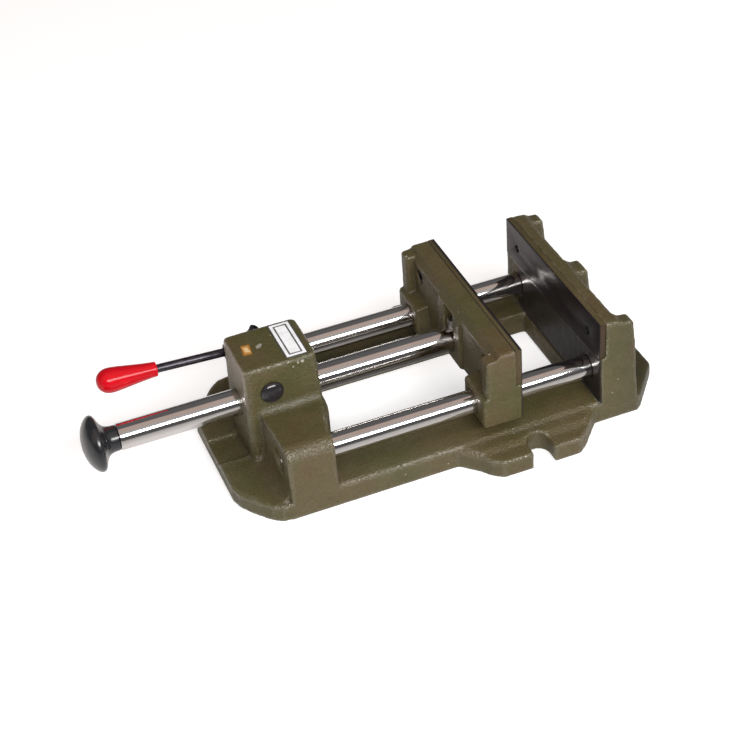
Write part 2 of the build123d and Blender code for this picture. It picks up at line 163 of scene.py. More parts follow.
def cut(ob, tool):
    m = ob.modifiers.new("cut", "BOOLEAN")
    m.operation = "DIFFERENCE"
    m.solver = "EXACT"
    m.object = tool
    bake_modifiers(ob)
    me = tool.data
    bpy.data.objects.remove(tool)
    bpy.data.meshes.remove(me)
    return ob


def hexagon(origin, direction, r, depth, lead=2.0):
    """Cutter for a hexagon socket, r across the corners over two, from lead above origin to depth below it."""
    d = Vector(direction).normalized()
    up = Vector((0, 0, 1)) if abs(d.z) < 0.9 else Vector((0, 1, 0))
    u = d.cross(up).normalized()
    v = d.cross(u).normalized()
    o = Vector(origin)
    verts, n = [], 6
    for a in (lead, -depth):
        for k in range(n):
            t = math.pi / 6 + 2 * math.pi * k / n
            verts.append((o + d * a + u * (r * math.cos(t)) + v * (r * math.sin(t))) * MM)
    tip = len(verts)
    verts.append((o - d * (depth + r * 0.35)) * MM)
    faces = [tuple(range(n))[::-1]]
    for k in range(n):
        k2 = (k + 1) % n
        faces.append((k, k2, n + k2, n + k))
        faces.append((n + k, n + k2, tip))
    ob = mesh_object("cutter", verts, faces)
    return shade(ob, 10)


def join(name, obs):
    """One object out of several separate closed bodies."""
    me = bpy.data.meshes.new(name)
    bm = bmesh.new()
    for o in obs:
        bm.from_mesh(o.data)
    bm.to_mesh(me)
    bm.free()
    for o in obs:
        old = o.data
        bpy.data.objects.remove(o)
        bpy.data.meshes.remove(old)
    return link(bpy.data.objects.new(name, me))


def outline(name, loops, x0, x1, bevel, plane="X"):
    """Flat plate with bevelled rims from closed loops of (u, v) points in mm, the first the outline, the rest holes."""
    cu = bpy.data.curves.new(name, "CURVE")
    cu.dimensions = "2D"
    cu.fill_mode = "BOTH"
    cu.extrude = ((x1 - x0) / 2 - bevel) * MM
    cu.bevel_depth = bevel * MM
    cu.bevel_resolution = 2
    cu.offset = -bevel * MM
    for lp in loops:
        sp = cu.splines.new("POLY")
        sp.points.add(len(lp) - 1)
        for i, (a, b) in enumerate(lp):
            sp.points[i].co = (a * MM, b * MM, 0, 1)
        sp.use_cyclic_u = True
    ob = link(bpy.data.objects.new(name + "_curve", cu))
    dg = bpy.context.evaluated_depsgraph_get()
    dg.update()
    me = bpy.data.meshes.new_from_object(ob.evaluated_get(dg))
    bpy.data.objects.remove(ob)
    bpy.data.curves.remove(cu)
    if plane == "X":        # u is Y, v is Z
        m = Matrix(((0, 0, 1, (x0 + x1) / 2 * MM), (1, 0, 0, 0), (0, 1, 0, 0), (0, 0, 0, 1)))
    else:                   # plane Z: u is X, v is Y
        m = Matrix.Translation((0, 0, (x0 + x1) / 2 * MM))
    me.transform(m)
    bm = bmesh.new()
    bm.from_mesh(me)
    bmesh.ops.remove_doubles(bm, verts=bm.verts, dist=1e-6)
    bm.to_mesh(me)
    bm.free()
    ob = link(bpy.data.objects.new(name, me))
    return shade(ob, 30)


def circle(cx, cy, r, n=40):
    return [(cx + r * math.cos(2 * math.pi * k / n), cy + r * math.sin(2 * math.pi * k / n)) for k in range(n)]


def rounded_rect(x0, x1, y0, y1, r, n=6):
    out = []
    for cx, cy, a0 in ((x1 - r, y1 - r, 0), (x0 + r, y1 - r, 90), (x0 + r, y0 + r, 180), (x1 - r, y0 + r, 270)):
        for k in range(n + 1):
            t = math.radians(a0 + 90 * k / n)
            out.append((cx + r * math.cos(t), cy + r * math.sin(t)))
    return out


def place(ob, body, slot, *nodes, mat=None):
    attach(ob, body)
    if nodes:
        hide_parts(*nodes)
    ob.data.materials.clear()
    ob.data.materials.append(mat)
    return ob


# ------------------------------------------------------------------ materials
class Mat:
    """Short hand for a node material."""

    def __init__(self, name):
        self.m = bpy.data.materials.new(name)
        self.m.use_nodes = True
        self.t = self.m.node_tree
        self.t.nodes.clear()
        self.out = self.t.nodes.new("ShaderNodeOutputMaterial")
        self.b = self.t.nodes.new("ShaderNodeBsdfPrincipled")
        self.t.links.new(self.b.outputs[0], self.out.inputs[0])
        self.co = self.t.nodes.new("ShaderNodeTexCoord").outputs["Object"]

    def set(self, **kw):
        for k, v in kw.items():
            s = self.b.inputs[k.replace("_", " ")]
            if isinstance(v, (int, float)):
                s.default_value = v
            elif isinstance(v, tuple):
                s.default_value = (*v, 1.0) if len(v) == 3 else v
            else:
                self.t.links.new(v, s)
        return self

    def _in(self, node, key, v):
        if v is None:
            return
        s = node.inputs[key]
        if isinstance(v, (int, float)):
            s.default_value = v
        elif isinstance(v, tuple):
            s.default_value = (*v, 1.0) if (len(v) == 3 and s.type == "RGBA") else v
        else:
            self.t.links.new(v, s)

    def noise(self, scale, detail=3.0, rough=0.55, co=None, dist=0.0):
        n = self.t.nodes.new("ShaderNodeTexNoise")
        self._in(n, "Vector", co or self.co)
        n.inputs["Scale"].default_value = scale
        n.inputs["Detail"].default_value = detail
        n.inputs["Roughness"].default_value = rough
        n.inputs["Distortion"].default_value = dist
        return n.outputs[0]

    def voronoi(self, scale, feature="F1", co=None, out="Distance"):
        n = self.t.nodes.new("ShaderNodeTexVoronoi")
        n.feature = feature
        self._in(n, "Vector", co or self.co)
        n.inputs["Scale"].default_value = scale
        return n.outputs[out]

    def stretch(self, sx, sy, sz, co=None):
        n = self.t.nodes.new("ShaderNodeMapping")
        self._in(n, "Vector", co or self.co)
        n.inputs["Scale"].default_value = (sx, sy, sz)
        return n.outputs[0]

    def math(self, op, a, b=None, c=None, clamp=False):
        n = self.t.nodes.new("ShaderNodeMath")
        n.operation = op
        n.use_clamp = clamp
        for i, v in enumerate((a, b, c)):
            if v is not None:
                self._in(n, i, v)
        return n.outputs[0]

    def ramp(self, v, lo, hi, a=0.0, b=1.0, smooth=True):
        n = self.t.nodes.new("ShaderNodeMapRange")
        n.interpolation_type = "SMOOTHSTEP" if smooth else "LINEAR"
        self._in(n, 0, v)
        n.inputs[1].default_value = lo
        n.inputs[2].default_value = hi
        n.inputs[3].default_value = a
        n.inputs[4].default_value = b
        return n.outputs[0]

    def mix(self, f, a, b, mode="MIX"):
        n = self.t.nodes.new("ShaderNodeMix")
        n.data_type = "RGBA"
        n.blend_type = mode
        n.clamp_factor = True
        self._in(n, 0, f)
        for key, v in ((6, a), (7, b)):
            self._in(n, key, v)
        return n.outputs[2]

    def xyz(self, co=None):
        n = self.t.nodes.new("ShaderNodeSeparateXYZ")
        self._in(n, 0, co or self.co)
        return n.outputs

    def attr(self, name):
        n = self.t.nodes.new("ShaderNodeAttribute")
        n.attribute_name = name
        return n.outputs["Fac"]

    def bump(self, h, strength=0.5, dist=0.0005, normal=None):
        n = self.t.nodes.new("ShaderNodeBump")
        n.inputs["Strength"].default_value = strength
        n.inputs["Distance"].default_value = dist
        self._in(n, "Height", h)
        if normal is not None:
            self._in(n, "Normal", normal)
        return n.outputs[0]

    def near(self, points, radius, k=0.4, fine=900.0):
        """1 inside a ragged spot round each point (mm), else 0."""
        wob = self.math("MULTIPLY", self.noise(fine, 2.0), k)
        best = None
        for p in points:
            n = self.t.nodes.new("ShaderNodeVectorMath")
            n.operation = "DISTANCE"
            self._in(n, 0, self.co)
            n.inputs[1].default_value = tuple(c * MM for c in p[:3])
            r = (p[3] if len(p) > 3 else radius) * MM
            d = self.math("ADD", self.math("DIVIDE", n.outputs["Value"], r), wob)
            s = self.ramp(d, 0.95 + k * 0.5, 1.2 + k * 0.5, 1.0, 0.0)
            best = s if best is None else self.math("MAXIMUM", best, s)
        return best


def olive(name, chips_and_glints, face=None, gloss=0.85):
    """Semi-gloss paint over rough cast iron. face: (x centre, z low, z high, y limits) in mm of a bare machined face."""
    m = Mat(name)
    big = m.noise(13.0, 3.0, 0.6)
    big2 = m.noise(21.0, 3.0, 0.6, m.stretch(1.0, 1.3, 0.8))
    mid = m.noise(75.0, 4.0, 0.6)
    small = m.noise(430.0, 4.0, 0.62)
    grain = m.noise(1250.0, 3.0, 0.6)
    pits = m.voronoi(540.0)
    edge_convexity = m.attr("edge_convexity")
    cav = m.attr("cav")
    col = m.mix(m.ramp(big, 0.38, 0.62), (0.083, 0.062, 0.024), (0.062, 0.059, 0.0175))
    col = m.mix(m.ramp(big2, 0.50, 0.68, 0.0, 0.55), col, (0.090, 0.050, 0.022))
    col = m.mix(m.ramp(mid, 0.35, 0.7, 0.0, 0.45), col, (0.096, 0.079, 0.036))
    col = m.mix(m.ramp(small, 0.35, 0.7, 0.0, 0.32), col, (0.036, 0.029, 0.011))
    # painted shade: darker behind the fixed jaw, where the jaw shades the rear flange and the back of the base
    behind_jaw_shade = m.math("ADD", m.ramp(m.xyz()[0], 0.006, 0.040, 0.0, 0.42), m.ramp(m.xyz()[0], 0.030, 0.044, 0.0, 0.33))
    col = m.mix(m.math("MULTIPLY", behind_jaw_shade, m.ramp(mid, 0.3, 0.6, 0.8, 1.0)), col, (0.022, 0.019, 0.009))
    # painted light: the headstock's end face is lightened towards the top, standing in for the light it catches there
    end_face_light = m.math("MULTIPLY", m.ramp(m.xyz()[0], -0.2400, -0.2388, 1.0, 0.0), m.ramp(m.xyz()[2], 0.052, 0.086))
    col = m.mix(m.math("MULTIPLY", end_face_light, m.ramp(small, 0.25, 0.7, 0.45, 0.85)), col, (0.26, 0.215, 0.165))
    # painted shade: darker in the corners and hollows
    col = m.mix(m.math("MULTIPLY", cav, 0.55), col, (0.020, 0.015, 0.008))
    # edges: lighter in short stretches, partly paint rubbed thin and partly a painted highlight on the rounded edges
    patch = m.ramp(m.noise(150.0, 3.0, 0.6), 0.46, 0.62)
    edge = m.ramp(m.math("ADD", edge_convexity, m.math("MULTIPLY", m.math("SUBTRACT", small, 0.5), 0.5)), 0.62, 0.95)
    rub = m.math("MULTIPLY", edge, m.math("MULTIPLY", patch, m.ramp(grain, 0.40, 0.60, 0.3, 1.0)))
    col = m.mix(m.math("MULTIPLY", rub, 0.50), col, (0.29, 0.265, 0.195))
    # painted glints: light specks along the sharper edges and at the listed spots, standing in for highlights
    spark = m.math("MULTIPLY", m.ramp(grain, 0.62, 0.69), m.ramp(edge_convexity, 0.40, 0.85))
    glint = m.math("MULTIPLY", spark, m.ramp(patch, 0.3, 0.9))
    chip_or_glint = m.near(chips_and_glints, 0.8) if chips_and_glints else None
    if chip_or_glint is not None:
        glint = m.math("MAXIMUM", glint, chip_or_glint)
    col = m.mix(m.math("MULTIPLY", glint, 0.85), col, (0.60, 0.56, 0.47))
    rough = m.ramp(small, 0.25, 0.75, 0.34, 0.50)
    rough = m.math("ADD", rough, m.math("MULTIPLY", cav, 0.15))
    sand = m.noise(760.0, 2.0, 0.5)
    h = m.math("ADD", m.math("MULTIPLY", small, 0.9), m.math("MULTIPLY", grain, 0.40))
    h = m.math("ADD", h, m.math("MULTIPLY", m.ramp(pits, 0.0, 0.5), 0.28))
    h = m.math("ADD", h, m.math("MULTIPLY", m.ramp(sand, 0.35, 0.75), 0.75))
    if face:
        # milled face, oiled and gone dark
        x, y, z = m.xyz()[0], m.xyz()[1], m.xyz()[2]
        inx = m.ramp(m.math("ABSOLUTE", m.math("SUBTRACT", x, face[0] * MM)), 0.0009, 0.0014, 1.0, 0.0)
        inz = m.math("MULTIPLY", m.ramp(z, (face[1] - 0.3) * MM, (face[1] + 0.3) * MM), m.ramp(z, (face[2] - 0.3) * MM, (face[2] + 0.3) * MM, 1.0, 0.0))
        iny = m.ramp(m.math("ADD", y, m.math("MULTIPLY", m.math("SUBTRACT", mid, 0.5), 0.012)), (face[3] - 3.0) * MM, (face[3] + 4.0) * MM, 1.0, 0.0)
        f = m.math("MULTIPLY", inx, m.math("MULTIPLY", inz, iny))
        col = m.mix(m.math("MULTIPLY", f, 0.96), col, m.mix(m.ramp(mid, 0.35, 0.7), (0.011, 0.009, 0.010), (0.021, 0.016, 0.018)))
        lines = m.noise(1.0, 3.0, 0.6, m.stretch(900, 5, 900))
        rough = m.math("ADD", m.math("MULTIPLY", rough, m.math("SUBTRACT", 1.0, f)), m.math("MULTIPLY", f, m.ramp(lines, 0.3, 0.7, 0.29, 0.315)))
        h = m.math("MULTIPLY", h, m.math("SUBTRACT", 1.0, m.math("MULTIPLY", f, 0.985)))
    m.set(Base_Color=col, Roughness=rough, Metallic=m.math("MULTIPLY", glint, 0.6),
          Normal=m.bump(h, 0.70, 0.00050))
    round_ = m.math("MAXIMUM", m.ramp(edge_convexity, 0.06, 0.22), m.math("MULTIPLY", m.ramp(cav, 0.06, 0.22), 0.8))
    # the coat is kept off where the shade behind the fixed jaw is painted
    outside_jaw_shade = m.math("SUBTRACT", 1.0, behind_jaw_shade, clamp=True)
    m._in(m.b, "Coat Weight", m.math("MULTIPLY", m.math("MULTIPLY", round_, outside_jaw_shade), gloss))
    m.b.inputs["Coat Roughness"].default_value = 0.17
    m._in(m.b, "Coat Normal", m.bump(h, 0.85, 0.00060))
    m.b.inputs["Specular IOR Level"].default_value = 0.5
    return m.m


def jaw_steel(name, x0, x1, front):
    """Blackened, ground jaw plate between x0 and x1: its rims and ends carry the casting's paint up to near its front."""
    m = Mat(name)
    x, y, z = m.xyz()[0], m.xyz()[1], m.xyz()[2]
    lines = m.noise(1.0, 4.0, 0.7, m.stretch(900, 5, 900))
    mid = m.noise(60.0, 4.0, 0.6)
    small = m.noise(430.0, 4.0, 0.62)
    steel = m.mix(m.ramp(mid, 0.35, 0.7), (0.011, 0.0085, 0.0100), (0.021, 0.0145, 0.0165))
    steel = m.mix(m.ramp(lines, 0.5, 0.8, 0.0, 0.15), steel, (0.026, 0.021, 0.023))
    paint = m.mix(m.ramp(mid, 0.35, 0.65), (0.082, 0.062, 0.030), (0.068, 0.055, 0.023))
    paint = m.mix(m.ramp(small, 0.35, 0.7, 0.0, 0.4), paint, (0.036, 0.024, 0.013))
    back = m.math("SUBTRACT", x, x0 * MM) if front > 0 else m.math("SUBTRACT", x1 * MM, x)
    fore = m.math("SUBTRACT", x1 * MM, x) if front > 0 else m.math("SUBTRACT", x, x0 * MM)
    fore = m.math("ADD", fore, m.math("MULTIPLY", m.math("SUBTRACT", small, 0.5), 0.0006))
    top = m.ramp(z, 0.08372, 0.08388)
    end = m.math("MULTIPLY", m.ramp(m.math("ABSOLUTE", y), 0.07472, 0.07488), m.ramp(fore, 0.0006, 0.0010))
    lim = 0.0018 if front > 0 else 0.0006
    f = m.math("MAXIMUM", m.math("MULTIPLY", top, m.ramp(fore, lim, lim + 0.0004)), end)
    f = m.math("MULTIPLY", f, m.ramp(back, 0.00015, 0.00035))
    end_red = m.mix(0.15 if front > 0 else 0.5, paint, (0.048, 0.018, 0.012))
    end_red = m.mix(0.10 if front > 0 else 0.45, end_red, (0.012, 0.007, 0.006))
    col = m.mix(f, steel, m.mix(m.math("MULTIPLY", end, 0.9), paint, end_red))
    r = m.math("ADD", m.ramp(mid, 0.3, 0.75, 0.32, 0.37), m.math("MULTIPLY", f, 0.13))
    r = m.math("ADD", r, m.math("MULTIPLY", m.math("SUBTRACT", lines, 0.5), 0.02))
    h = m.math("MULTIPLY", m.math("MULTIPLY", small, f), 0.8)
    m.set(Base_Color=col, Roughness=r, Normal=m.bump(h, 0.4, 0.0003))
    m.b.inputs["Specular IOR Level"].default_value = 0.24
    return m.m


def ground_steel(name, tint, rough, length="X", scratch=0.25, metallic=1.0, contrast=0.25):
    """Metal with fine grinding lines. length is the direction in which the lines run."""
    m = Mat(name)
    s = {"X": (4, 900, 900), "Y": (900, 4, 900), "Z": (900, 900, 4)}[length]
    lines = m.noise(1.0, 4.0, 0.7, m.stretch(*s))
    wide = m.noise(1.0, 2.0, 0.5, m.stretch(*[v * 0.12 for v in s]))
    cloud = m.noise(45.0, 4.0, 0.6)
    dark = tuple(c * (1 - contrast) for c in tint)
    col = m.mix(m.ramp(wide, 0.3, 0.7), tint, dark)
    col = m.mix(m.ramp(cloud, 0.45, 0.8, 0, 0.4), col, tuple(c * 0.8 for c in tint))
    r = m.math("ADD", m.ramp(cloud, 0.3, 0.75, rough * 0.8, rough * 1.35), m.math("MULTIPLY", m.math("SUBTRACT", lines, 0.5), rough * 0.6))
    m.set(Base_Color=col, Roughness=r, Metallic=metallic, Normal=m.bump(lines, scratch, 0.00004))
    return m.m


def chrome(name):
    """Polished hard chrome bar, centreless ground: faint rings and a few length-wise rubs."""
    m = Mat(name)
    rings = m.noise(1.0, 3.0, 0.6, m.stretch(1400, 3, 3))
    rubs = m.noise(1.0, 3.0, 0.6, m.stretch(6, 420, 420))
    film = m.noise(38.0, 4.0, 0.6)
    specks = m.ramp(m.noise(700.0, 2.0, 0.5), 0.70, 0.76)
    col = m.mix(m.ramp(film, 0.35, 0.75, 0, 0.6), (0.74, 0.72, 0.71), (0.62, 0.585, 0.57))
    col = m.mix(m.math("MULTIPLY", specks, 0.35), col, (0.25, 0.20, 0.17))
    r = m.math("ADD", m.ramp(film, 0.3, 0.8, 0.055, 0.12), m.ramp(rubs, 0.6, 0.8, 0.0, 0.07))
    m.set(Base_Color=col, Roughness=r, Metallic=1.0,
          Normal=m.bump(m.math("ADD", rings, m.math("MULTIPLY", rubs, 0.5)), 0.10, 0.00002))
    return m.m


def plastic(name, a, b, rough, coat=0.0, orange=0.12, wearcol=None, spec=0.5):
    """Moulded plastic with a faint orange-peel skin."""
    m = Mat(name)
    cloud = m.noise(60.0, 3.0, 0.55)
    peel = m.noise(520.0, 2.0, 0.5)
    fine = m.noise(2400.0, 2.0, 0.5)
    scuff = m.ramp(m.noise(1.0, 3.0, 0.65, m.stretch(60, 900, 500)), 0.66, 0.80)
    col = m.mix(m.ramp(cloud, 0.3, 0.7), a, b)
    if wearcol:
        col = m.mix(m.math("MULTIPLY", scuff, 0.5), col, wearcol)
    r = m.math("ADD", m.ramp(cloud, 0.3, 0.7, rough * 0.85, rough * 1.2), m.math("MULTIPLY", scuff, 0.12))
    m.set(Base_Color=col, Roughness=r, Normal=m.bump(m.math("ADD", peel, m.math("MULTIPLY", fine, 0.2)), orange, 0.00012))
    m.b.inputs["Coat Weight"].default_value = coat
    m.b.inputs["Specular IOR Level"].default_value = spec
    m.b.inputs["Coat Roughness"].default_value = 0.08
    return m.m


def oxide(name, base=(0.030, 0.030, 0.034), rough=0.34):
    """Black-oxide steel, worn brighter on its edges and high spots."""
    m = Mat(name)
    cloud = m.noise(160.0, 4.0, 0.6)
    fine = m.noise(1400.0, 3.0, 0.6)
    rub = m.ramp(m.math("ADD", cloud, m.math("MULTIPLY", fine, 0.3)), 0.76, 0.90)
    col = m.mix(m.ramp(cloud, 0.3, 0.7), base, tuple(c * 1.9 for c in base))
    col = m.mix(m.math("MULTIPLY", rub, 0.7), col, (0.22, 0.21, 0.20))
    m.set(Base_Color=col, Roughness=m.ramp(cloud, 0.3, 0.7, rough, rough * 1.5), Metallic=0.9,
          Normal=m.bump(fine, 0.25, 0.00006))
    return m.m


def label_paper(name):
    """Printed film: white, with a dark rim line and a thinner frame inside it, and thumbed dirt. Nothing else is on it."""
    m = Mat(name)
    x, y = m.xyz()[0], m.xyz()[1]
    cx, cy, hx, hy = -200.45 * MM, 0.0, 7.85 * MM, 20.3 * MM
    dx = m.math("SUBTRACT", hx, m.math("ABSOLUTE", m.math("SUBTRACT", x, cx)))
    dy = m.math("SUBTRACT", hy, m.math("ABSOLUTE", m.math("SUBTRACT", y, cy)))
    d = m.math("MINIMUM", dx, dy)             # distance in from the rim
    rim = m.ramp(d, 0.0007, 0.0010, 1.0, 0.0)
    fr = m.math("MULTIPLY", m.ramp(d, 0.0029, 0.0031, 0.0, 1.0), m.ramp(d, 0.0040, 0.0042, 1.0, 0.0))
    ink = m.math("MAXIMUM", rim, fr)
    cloud = m.noise(120.0, 4.0, 0.6)
    fine = m.noise(1300.0, 3.0, 0.6)
    paper = m.mix(m.ramp(cloud, 0.3, 0.75), (0.86, 0.88, 0.91), (0.70, 0.71, 0.72))
    paper = m.mix(m.ramp(fine, 0.62, 0.75, 0, 0.35), paper, (0.42, 0.40, 0.36))
    col = m.mix(m.math("MULTIPLY", ink, m.ramp(fine, 0.25, 0.4, 0.75, 0.97)), paper, (0.035, 0.037, 0.045))
    m.set(Base_Color=col, Roughness=m.ramp(cloud, 0.3, 0.7, 0.30, 0.46), Normal=m.bump(fine, 0.12, 0.00006))
    return m.m


def amber(name):
    """Small round-cornered sticker, amber, paler in the middle where it has rubbed."""
    m = Mat(name)
    x, y = m.xyz()[0], m.xyz()[1]
    ax = m.math("ABSOLUTE", m.math("DIVIDE", m.math("SUBTRACT", x, -229.8 * MM), 3.1 * MM))
    ay = m.math("ABSOLUTE", m.math("DIVIDE", m.math("SUBTRACT", y, 1.1 * MM), 5.6 * MM))
    d = m.math("MAXIMUM", ax, ay)
    cloud = m.noise(420.0, 4.0, 0.6)
    mid = m.ramp(m.math("ADD", d, m.math("MULTIPLY", m.math("SUBTRACT", cloud, 0.5), 0.9)), 0.25, 0.85, 1.0, 0.0)
    col = m.mix(mid, (0.33, 0.135, 0.012), (0.66, 0.47, 0.24))
    m.set(Base_Color=col, Roughness=m.ramp(cloud, 0.3, 0.7, 0.32, 0.5), Normal=m.bump(cloud, 0.15, 0.00008))
    return m.m


# spots (x, y, z, radius in mm) lightened on the paint: paint chips, and painted glints such as those at the foot's near
# corner
CHIPS_AND_GLINTS_BASE = [(-198.2, -22.9, 86.6, 1.1), (-201.3, -23.0, 86.2, 0.7), (-205.0, -23.1, 84.0, 0.6), (-220.9, 1.4, 90.0, 1.7),
              (-219.2, 2.9, 90.0, 1.1), (-222.2, 0.2, 90.0, 0.7), (14.6, -76.6, 33.0, 0.45), (9.8, -77.2, 23.2, 0.4), (-209.5, 9.5, 90.0, 0.45),
              (-150.0, -77.8, 9.0, 0.45), (-118.0, -78.0, 6.5, 0.4), (-233.6, -76.2, 13.4, 0.6), (-235.3, -75.9, 13.4, 0.5), (-231.9, -76.8, 13.2, 0.45), (-70.0, -101.6, 13.2, 0.5)]
CHIPS_JAW = [(-84.0, 68.0, 79.9, 0.9), (-79.4, -66.2, 80.6, 0.7), (-78.5, -12.0, 80.6, 0.5), (-88.9, -60.0, 40.0, 0.5)]

XF = -59.0
M_BASE = olive("olive_paint_base", CHIPS_AND_GLINTS_BASE, (0.3, 16.3, 54.0, 56.0))
M_JAW = olive("olive_paint_jaw", CHIPS_JAW, (XF - 0.3, 25.0, 54.0, 90.0), 0.5)
M_PLATE_F = jaw_steel("black_jaw_steel_fixed", 0.0, 5.0, -1)
M_PLATE_M = jaw_steel("black_jaw_steel_moving", XF - 5.0, XF, 1)
M_CHROME = chrome("bar_chrome")
M_OXIDE = oxide("black_oxide")
M_ROD = oxide("rod_black_oxide", (0.045, 0.042, 0.050), 0.28)
M_STEEL = ground_steel("bright_steel", (0.56, 0.55, 0.53), 0.26, "Y", 0.3)
M_STEEL_X = ground_steel("bright_steel_turned", (0.58, 0.57, 0.55), 0.24, "Y", 0.3)
M_BLACK = plastic("black_plastic", (0.010, 0.011, 0.013), (0.016, 0.017, 0.020), 0.24, 0.35, 0.12, (0.05, 0.05, 0.055))
M_PLUG = plastic("black_plug", (0.012, 0.011, 0.013), (0.020, 0.018, 0.022), 0.20, 0.3, 0.10)
M_RED = plastic("red_grip", (0.50, 0.003, 0.010), (0.43, 0.002, 0.008), 0.20, 0.06, 0.14, spec=0.24)
M_LABEL = label_paper("white_label")
M_AMBER = amber("orange_label")


# ------------------------------------------------------------------ castings
def rough_field(co, seed, lo, hi, n=26):
    """Sum of random plane waves, wavelengths lo to hi mm: smooth, repeatable unevenness of about unit size."""
    rng = np.random.default_rng(seed)
    out = np.zeros(len(co))
    for _ in range(n):
        d = rng.normal(size=3)
        d /= np.linalg.norm(d)
        w = rng.uniform(lo, hi) * MM
        out += np.sin(co @ d * (2 * math.pi / w) + rng.uniform(0, 6.283))
    return out / math.sqrt(n / 2)


def neighbour_mean(co, a, b, cnt):
    s = np.zeros_like(co)
    np.add.at(s, a, co[b])
    np.add.at(s, b, co[a])
    return s / cnt[:, None]


def casting(node, name, voxel, rounds, wide, keep, body, mat, seed):
    """Sand-cast skin over a CAD solid: fine remesh, rounded edges, slight waviness, and edge-convexity and hollow maps
    for rubbed edges, painted glints and painted shade in the corners.
    """
    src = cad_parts[node]
    me = src.data.copy()
    ob = link(bpy.data.objects.new(name, me))
    bm = bmesh.new()
    bm.from_mesh(me)
    bmesh.ops.remove_doubles(bm, verts=bm.verts, dist=2e-6)
    bm.to_mesh(me)
    bm.free()
    if me.has_custom_normals:
        me.normals_split_custom_set([(0, 0, 0)] * len(me.loops))
    r = ob.modifiers.new("remesh", "REMESH")
    r.mode = "VOXEL"
    r.voxel_size = voxel * MM
    r.adaptivity = 0.0
    r.use_smooth_shade = True
    bake_modifiers(ob)
    me = ob.data
    n = len(me.vertices)
    co = np.empty(n * 3, np.float64)
    me.vertices.foreach_get("co", co)
    co = co.reshape(-1, 3)
    e = np.empty(len(me.edges) * 2, np.int64)
    me.edges.foreach_get("vertices", e)
    a, b = e.reshape(-1, 2).T
    cnt = np.bincount(np.concatenate([a, b]), minlength=n).astype(float)
    cnt[cnt == 0] = 1
    base = co.copy()
    k = keep(co)[:, None]                      # 1 smooths fully, 0 stays
    for _ in range(rounds):
        co += 0.5 * k * (neighbour_mean(co, a, b, cnt) - co)
        co -= 0.0
    # how far a wider smoothing pulls each point in or out: edges and hollows
    far = co.copy()
    for _ in range(wide):
        far += 0.5 * (neighbour_mean(far, a, b, cnt) - far)
    me.vertices.foreach_set("co", co.ravel())
    me.update()
    nor = np.empty(n * 3, np.float64)
    me.vertices.foreach_get("normal", nor)
    nor = nor.reshape(-1, 3)
    bend = ((co - far) * nor).sum(1)
    ref = np.percentile(bend, 99.3)
    edge_convexity = np.clip(bend / ref, 0, 1) * (k[:, 0] > 0.2)
    cav = np.clip(-bend / ref, 0, 1) * (k[:, 0] > 0.2)
    lift = 0.00004 * rough_field(co, seed, 5, 16) + 0.000022 * rough_field(co, seed + 1, 2.4, 5)
    co = co + nor * (lift * k[:, 0])[:, None]
    me.vertices.foreach_set("co", co.ravel())
    for key, val in (("edge_convexity", edge_convexity), ("cav", cav)):
        at = me.attributes.new(key, "FLOAT", "POINT")
        at.data.foreach_set("value", val.astype(np.float32))
    me.update()
    for p in me.polygons:
        p.use_smooth = True
    return place(ob, body, "olive_paint", node, mat=mat)


def keep_base(co):
    x, y, z = co[:, 0] / MM, co[:, 1] / MM, co[:, 2] / MM
    k = np.ones(len(co))
    # machined seat, front face and bores stay true
    k[(x > -1) & (x < 6.5) & (z > 50)] = 0.25
    for s in (-1, 1):
        k[(np.hypot(y - s * 56.6, z - 36) < 10.3) & (x < 20)] = 0.0
        k[(np.hypot(y - s * 56.6, z - 67.5) < 7.5) & (x > 0)] = 0.1
    k[np.hypot(y, z - 50) < 11.2] = 0.0
    k[np.hypot(x + 222, z - 68.6) < 8.6] = 0.0
    k[(z < 1.2)] = 0.5
    return k


def keep_jaw(co):
    x, y, z = co[:, 0] / MM, co[:, 1] / MM, co[:, 2] / MM
    k = np.ones(len(co))
    k[(x > -65.5)] = 0.3
    for s in (-1, 1):
        k[np.hypot(y - s * 56.6, z - 36) < 10.1] = 0.0
        k[np.hypot(y - s * 56.6, z - 67.5) < 6.6] = 0.0
    return k


casting("base_casting", "base_casting_skin", 0.9, 7, 5, keep_base, "base", M_BASE, 11)
casting("moving_jaw", "moving_jaw_skin", 0.6, 6, 7, keep_jaw, "moving_jaw_group", M_JAW, 23)

# ------------------------------------------------------------------ bars
GY, GZ, GR = 56.6, 36.0, 8.75
for side, y in (("near", -GY), ("far", GY)):
    xe = -230.5 if y < 0 else -223.5
    prof = corners([(xe, 0), (xe, GR, 0.8), (16.0, GR, 0.8), (16.0, 0)])
    # centre-drilled end, as a ground bar has
    prof = [(xe + 1.3, 0), (xe, 1.6)] + prof[1:]
    ob = lathe("guide_bar_%s_chrome" % side, prof, (0, y, GZ), segs=128)
    place(ob, "base", "bar_chrome", "guide_bar_" + side, mat=M_CHROME)

PZ, PR = 50.0, 9.5
prof = corners([(-327.0, 0), (-327.0, PR, 1.1), (-66.0, PR, 0.5), (-66.0, 0)])
ob = lathe("push_bar_chrome", prof, (0, 0, PZ), segs=128)
place(ob, "moving_jaw_group", "bar_chrome", "push_bar", mat=M_CHROME)

# ------------------------------------------------------------------ jaw plates
for nm, x0, x1, body, mt in (("fixed_jaw_plate", 0.0, 5.0, "base", M_PLATE_F), ("moving_jaw_plate", XF - 5.0, XF, "moving_jaw_group", M_PLATE_M)):
    rect = rounded_rect(-75, 75, 54, 84, 0.5, 2)
    ob = outline(nm + "_ground", [rect, circle(-GY, 67.5, 3.0), circle(GY, 67.5, 3.0)], x0, x1, 0.35)
    place(ob, body, "jaw_steel", nm, mat=mt)


# ------------------------------------------------------------------ screws
def knurl(a0, a1, depth, segs):
    def w(a, r, k):
        return -depth if (a0 < a < a1 and k % 3 == 0) else 0.0
    return w


